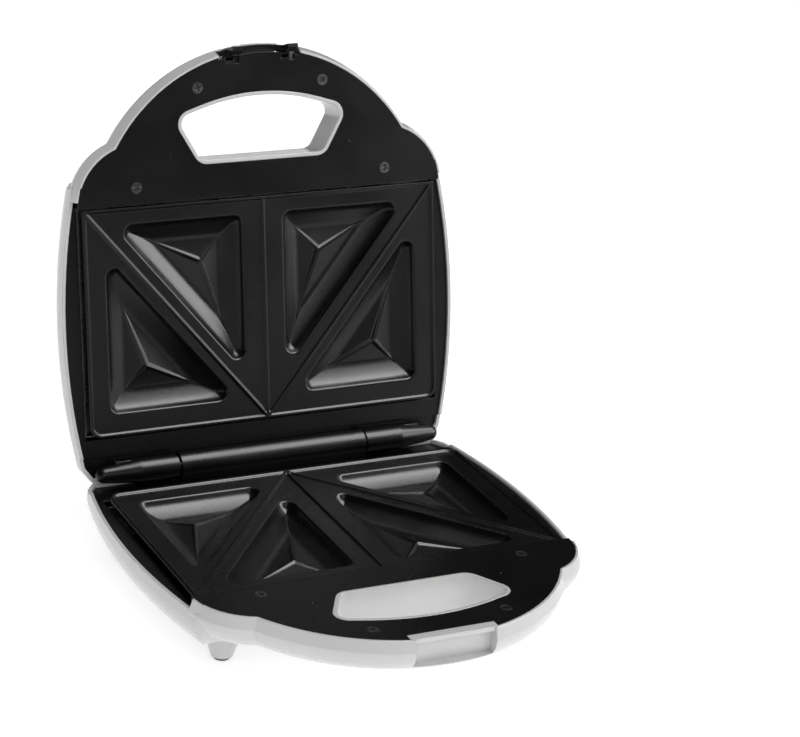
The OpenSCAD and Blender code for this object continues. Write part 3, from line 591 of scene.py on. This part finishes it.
# %% [markdown]
# ## The whole surface
# The land carries the strips, and each pocket replaces the land inside its outline. The pocket's edge is
# rolled over a little on both sides of the line, because no casting has a knife edge there.

# %% Height of the plate
ROLL_DROP, ROLL_REACH = 0.28, 0.55


def plate_height(x, y):
    """The plate's height at each point, from the land, the strips and the four pockets."""
    z = LAND_Z + strips(x, y)
    for tri in POCKETS:
        dist = pocket_dist(x, y, tri)
        bowl = -smooth_min(-pocket_wall(dist), -pocket_floor(x, y, tri), FLOOR_BLEND)
        bowl += pocket_seams(x, y, tri)
        roll = ROLL_DROP * np.exp(-(dist / ROLL_REACH) ** 2)
        z = np.where(dist > 0, LAND_Z + bowl - roll, z - roll)
    return z


middles = np.array([incentre(tri) for tri in POCKETS])
print("height at each pocket's middle", plate_height(middles[:, 0], middles[:, 1]).round(2))

# %% [markdown]
# ## Points of the plate
# A grid of points covers the plate. At the two rear corners each row is drawn in to the arc, so the grid
# follows the outline without stray triangles, which cutting the corners off would leave.

# %% Grid of the plate
FINE_STEP, QUICK_STEP, UNDER_STEP = 0.45, 2.0, 2.0


def plate_grid(step):
    """The points' x and y in rows from the front to the rear."""
    nx, ny = int(PLATE_W / step), int(PLATE_D / step)
    x, y = np.meshgrid(np.linspace(-HALF_W, HALF_W, nx), np.linspace(0, PLATE_D, ny))
    over = np.maximum(y - (PLATE_D - CORNER), 0)
    reach = HALF_W - CORNER + np.sqrt(np.maximum(CORNER ** 2 - over ** 2, 0))
    return x * reach / HALF_W, y


def quads(index, downward=False):
    """Faces between the neighbours in a grid of point numbers, facing up unless downward is asked for."""
    corners = [index[:-1, :-1], index[:-1, 1:], index[1:, 1:], index[1:, :-1]]
    if downward:
        corners = [corners[i] for i in (0, 3, 2, 1)]
    return np.stack(corners, -1).reshape(-1, 4).tolist()


print("fine grid", *plate_grid(FINE_STEP)[0].shape)

# %% [markdown]
# The top is the fine grid. A strip of faces drops straight down all round, and a coarse underside follows
# the pockets one wall's thickness below, as it is hardly ever seen. Each plate rides on its own body,
# stands for the CAD's plate and gets the coating's material.

# %% Plate builder


def build_plate(name, matrix, step, flip):
    """A plate with a fine top, a straight edge and a coarse underside."""
    x, y = plate_grid(step)
    rows_n, cols_n = x.shape
    top = plate_height(x, y)
    points = np.stack([x, y, top], -1).reshape(-1, 3)
    index = np.arange(x.size).reshape(x.shape)
    faces = quads(index)

    ring = np.concatenate([index[0, :-1], index[:-1, -1], index[-1, :0:-1], index[:0:-1, 0]])
    foot = points[ring].copy()
    foot[:, 2] = LAND_Z - PLATE_WALL
    start, count = len(points), len(ring)
    for i in range(count):
        j = (i + 1) % count
        faces.append([int(ring[j]), int(ring[i]), start + i, start + j])

    skip = max(1, int(UNDER_STEP / step))
    rows = sorted({*range(0, rows_n, skip), rows_n - 1})
    cols = sorted({*range(0, cols_n, skip), cols_n - 1})
    under = np.stack([x, y, np.minimum(top, LAND_Z) - PLATE_WALL], -1)[np.ix_(rows, cols)]
    under_index = np.arange(len(rows) * len(cols)).reshape(len(rows), len(cols))
    faces += quads(start + count + under_index, downward=True)
    return make_mesh(name, np.concatenate([points, foot, under.reshape(-1, 3)]), faces, matrix, flip)


for half_name, matrix in HALVES.items():
    plate = build_plate(f"{half_name}_plate_surface", matrix, FINE_STEP,
                        flip=half_name == "lid")
    plate.data.materials.append(MATERIALS["coated_plate"])
    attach(plate, half_name)
    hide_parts(f"{half_name}_plate")
    print(plate.name, "faces", len(plate.data.polygons))

# %% [markdown]
# ## Floor
# The toaster rests on a pale, dull floor that is large enough to fill the view. White paper would be lit by
# the lamps alone and turn grey toward the back, so the floor also gives off a little light of its own and
# stays even. It is a stage piece and no part of the toaster.

# %% Floor
REACH = 12
floor_mesh = bpy.data.meshes.new("floor")
floor_mesh.from_pydata([(-REACH, -REACH, 0), (REACH, -REACH, 0), (REACH, REACH, 0), (-REACH, REACH, 0)],
                       [], [(0, 1, 2, 3)])
floor = bpy.data.objects.new("floor", floor_mesh)
bpy.context.collection.objects.link(floor)
floor.data.materials.append(finish(
    "pale floor", GRAIN, {"Scale": 60.0, "Height": 0.0, "Slow scale": 2.0, "Rough": 0.9, "Spread": 0.02},
    (0.93, 0.93, 0.93), (0.95, 0.95, 0.95), Specular_IOR_Level=0.1,
    Emission_Color=(1, 1, 1, 1), Emission_Strength=0.48))
print("floor", 2 * REACH, "m wide")

# %% [markdown]
# ## Panels
# Glossy black shows little but what it mirrors. Two large panels, one at the right and one overhead, give
# the black pieces their gleams, and they cast no light on dull surfaces. Two softer panels, at the front
# right and at the front, light the white shells. One strong lamp could do both, but then the gleams and the
# shadows could not be set apart.

# %% Area lights
LID_MIDDLE, PLATE_MIDDLE, FRONT_MIDDLE = (0, 0.1, 0.17), (0, 0.1, 0.12), (0, 0, 0.12)


def panel(name, size, power, place, aim):
    """A rectangular light that faces a point."""
    light = bpy.data.lights.new(name, "AREA")
    light.shape = "RECTANGLE"
    light.size, light.size_y = size
    light.energy = power
    obj = bpy.data.objects.new(name, light)
    obj.location = place
    obj.rotation_mode = "QUATERNION"
    obj.rotation_quaternion = (Vector(aim) - Vector(place)).to_track_quat("-Z", "Y")
    bpy.context.collection.objects.link(obj)
    return obj


side_gleam = panel("side gleam", size=(1.0, 0.8), power=32, place=(1.35, -0.65, 0.7), aim=LID_MIDDLE)
top_gleam = panel("top gleam", size=(1.1, 1.3), power=66, place=(0.6, -0.2, 1.5), aim=PLATE_MIDDLE)
side_gleam.visible_diffuse = top_gleam.visible_diffuse = False
key = panel("key", size=(1.2, 1.0), power=6, place=(1.3, -1.2, 0.9), aim=FRONT_MIDDLE)
key.visible_glossy = False
front = panel("front", size=(1.0, 0.8), power=8, place=(-0.4, -1.9, 1.0), aim=FRONT_MIDDLE)
print("panels", [light.name for light in (side_gleam, top_gleam, key, front)])

# %% [markdown]
# ## Sky
# A studio's white walls light everything softly from above. A sun with a very wide disc does this with far
# less noise than a bright world, and it is hidden from reflections, so the black stays black. The world
# itself adds only a trace.

# %% Dome and world
DOME_STRENGTH, DOME_ANGLE, DOME_FROM = 2.0, math.radians(120), (0.1, -0.1, 1)
WORLD_STRENGTH = 0.02
dome = bpy.data.objects.new("dome", bpy.data.lights.new("dome", "SUN"))
dome.data.energy, dome.data.angle = DOME_STRENGTH, DOME_ANGLE
dome.visible_glossy = False
dome.rotation_mode = "QUATERNION"
dome.rotation_quaternion = Vector(DOME_FROM).to_track_quat("Z", "Y")
bpy.context.collection.objects.link(dome)

world = bpy.data.worlds.new("studio")
bpy.context.scene.world = world
world.use_nodes = True
sky = world.node_tree.nodes["Background"]
sky.inputs["Color"].default_value = (1, 1, 1, 1)
sky.inputs["Strength"].default_value = WORLD_STRENGTH
print("dome", DOME_STRENGTH, "world", WORLD_STRENGTH)

# %% [markdown]
# ## Camera
# The camera looks from the front left, a little above the open lid's middle, from about 1.4 m. Its lens and
# the point of the picture that it looks straight at are worked out in pixels of a picture 800 wide and 737
# high. A shift moves the lens off centre without turning the camera.

# %% Camera
PICTURE_W, PICTURE_H = 800, 737
FOCAL, CENTRE_X, CENTRE_Y = 2628.1, 337.8, 344.5
SENSOR = 36
EYE_X, EYE_Y, EYE_Z = -597.6, -1108.6, 622.9
azimuth, elevation, roll = math.radians(-26.8), math.radians(21.62), math.radians(4.06)

flat = math.cos(elevation)
back = Vector((math.sin(azimuth) * flat, -math.cos(azimuth) * flat, math.sin(elevation)))
level = Vector((math.cos(azimuth), math.sin(azimuth), 0))
upright = back.cross(level)
right = math.cos(roll) * level + math.sin(roll) * upright
up = -math.sin(roll) * level + math.cos(roll) * upright
place = Vector((EYE_X, EYE_Y - ORIGIN_Y, EYE_Z + FACE)) / 1000

camera = bpy.data.objects.new("camera", bpy.data.cameras.new("camera"))
bpy.context.collection.objects.link(camera)
camera.matrix_world = Matrix.Translation(place) @ Matrix((right, up, back)).transposed().to_4x4()
camera.data.sensor_width = SENSOR
camera.data.lens = FOCAL / PICTURE_W * SENSOR
camera.data.shift_x = (PICTURE_W / 2 - CENTRE_X) / PICTURE_W
camera.data.shift_y = (CENTRE_Y - PICTURE_H / 2) / PICTURE_W
camera.data.clip_start, camera.data.clip_end = 0.05, 60
bpy.context.scene.camera = camera
bpy.context.scene.view_settings.view_transform = "Standard"
bpy.context.scene.view_settings.look = "None"
print("lens", round(camera.data.lens, 1), "mm from", round(place.length, 2), "m")
